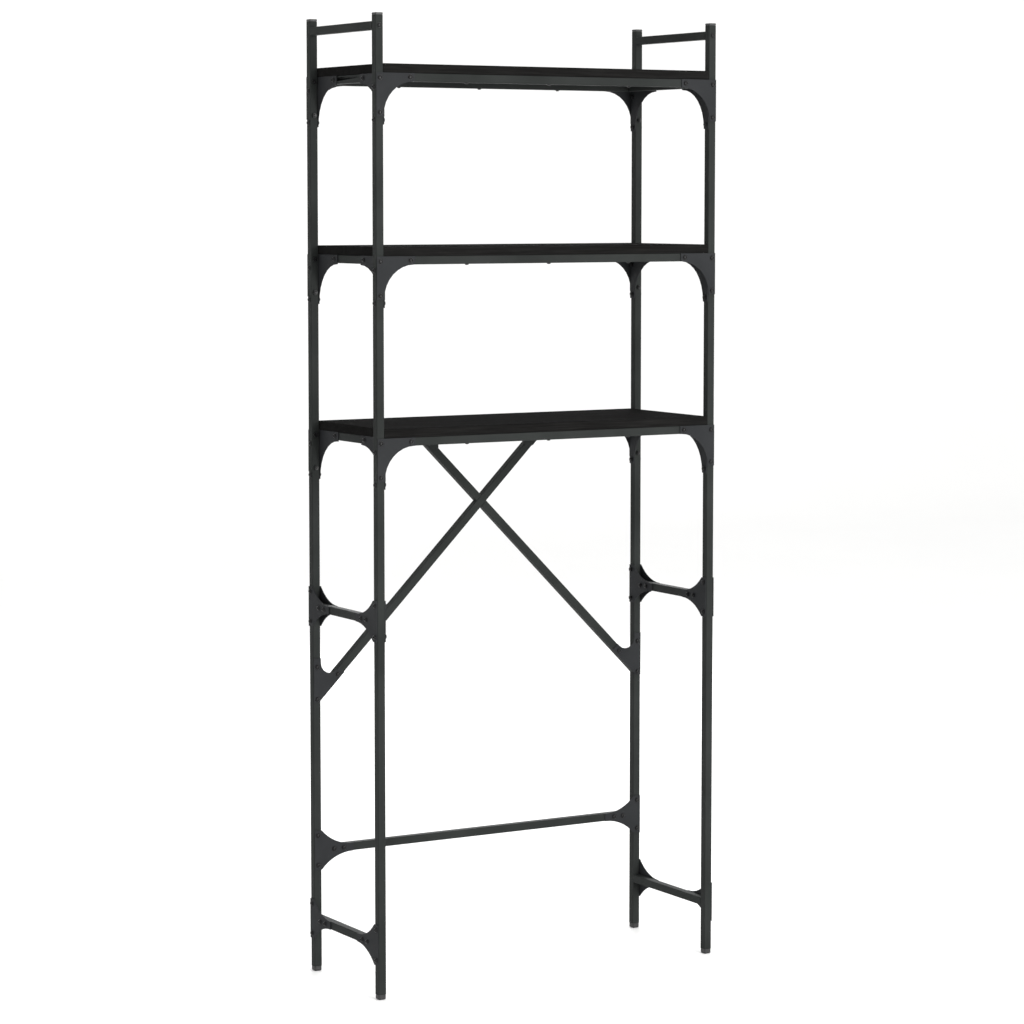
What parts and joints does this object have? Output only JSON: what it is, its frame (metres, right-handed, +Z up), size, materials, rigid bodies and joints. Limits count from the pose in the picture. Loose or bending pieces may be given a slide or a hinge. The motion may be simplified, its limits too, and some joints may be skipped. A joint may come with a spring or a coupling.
{
  "type": "over the toilet storage rack",
  "caption": "Tall free-standing storage rack of square steel tube with dark wood-effect shelves above an open bay that stands over a toilet.",
  "frame": {"origin": "on the floor, under the middle of the rack", "axes": "+X to the right seen from the front, +Y to the back, +Z up"},
  "size_m": [0.7236, 0.2726, 1.7653],
  "materials": {
    "frame_steel": "satin dark grey powder coat",
    "board_veneer": "matt black wood-effect board",
    "black_plastic": "moulded black plastic",
    "bolt_steel": "dark plated bolts and nuts"
  },
  "bodies": {
    "root": {"front_left_post": "frame_steel", "front_left_foot": "black_plastic", "front_left_cap": "black_plastic", "rear_left_post": "frame_steel", "rear_left_foot": "black_plastic", "rear_left_cap": "black_plastic", "front_right_post": "frame_steel", "front_right_foot": "black_plastic", "front_right_cap": "black_plastic", "rear_right_post": "frame_steel", "rear_right_foot": "black_plastic", "rear_right_cap": "black_plastic", "left_handle": "frame_steel", "left_mid_bar": "frame_steel", "left_low_bar": "frame_steel", "right_handle": "frame_steel", "right_mid_bar": "frame_steel", "right_low_bar": "frame_steel", "lower_shelf_front_rail": "frame_steel", "lower_shelf_rear_rail": "frame_steel", "lower_shelf_left_rail": "frame_steel", "lower_shelf_front_left_bracket": "frame_steel", "lower_shelf_rear_left_bracket": "frame_steel", "lower_shelf_right_rail": "frame_steel", "lower_shelf_front_right_bracket": "frame_steel", "lower_shelf_rear_right_bracket": "frame_steel", "lower_shelf_board": "board_veneer", "middle_shelf_front_rail": "frame_steel", "middle_shelf_rear_rail": "frame_steel", "middle_shelf_left_rail": "frame_steel", "middle_shelf_front_left_bracket": "frame_steel", "middle_shelf_rear_left_bracket": "frame_steel", "middle_shelf_right_rail": "frame_steel", "middle_shelf_front_right_bracket": "frame_steel", "middle_shelf_rear_right_bracket": "frame_steel", "middle_shelf_board": "board_veneer", "upper_shelf_front_rail": "frame_steel", "upper_shelf_rear_rail": "frame_steel", "upper_shelf_left_rail": "frame_steel", "upper_shelf_front_left_bracket": "frame_steel", "upper_shelf_rear_left_bracket": "frame_steel", "upper_shelf_right_rail": "frame_steel", "upper_shelf_front_right_bracket": "frame_steel", "upper_shelf_rear_right_bracket": "frame_steel", "upper_shelf_board": "board_veneer", "left_mid_bar_front_clamp": "frame_steel", "left_low_bar_front_plate": "frame_steel", "left_mid_bar_rear_clamp": "frame_steel", "left_low_bar_rear_plate": "frame_steel", "right_mid_bar_front_clamp": "frame_steel", "right_low_bar_front_plate": "frame_steel", "right_mid_bar_rear_clamp": "frame_steel", "right_low_bar_rear_plate": "frame_steel", "rear_bar": "frame_steel", "rear_bar_left_plate": "frame_steel", "rear_bar_right_plate": "frame_steel", "brace_bar_rising_right": "frame_steel", "brace_bar_rising_left": "frame_steel", "brace_left_foot_plate": "frame_steel", "brace_right_foot_plate": "frame_steel"}
  },
  "joints": []
}
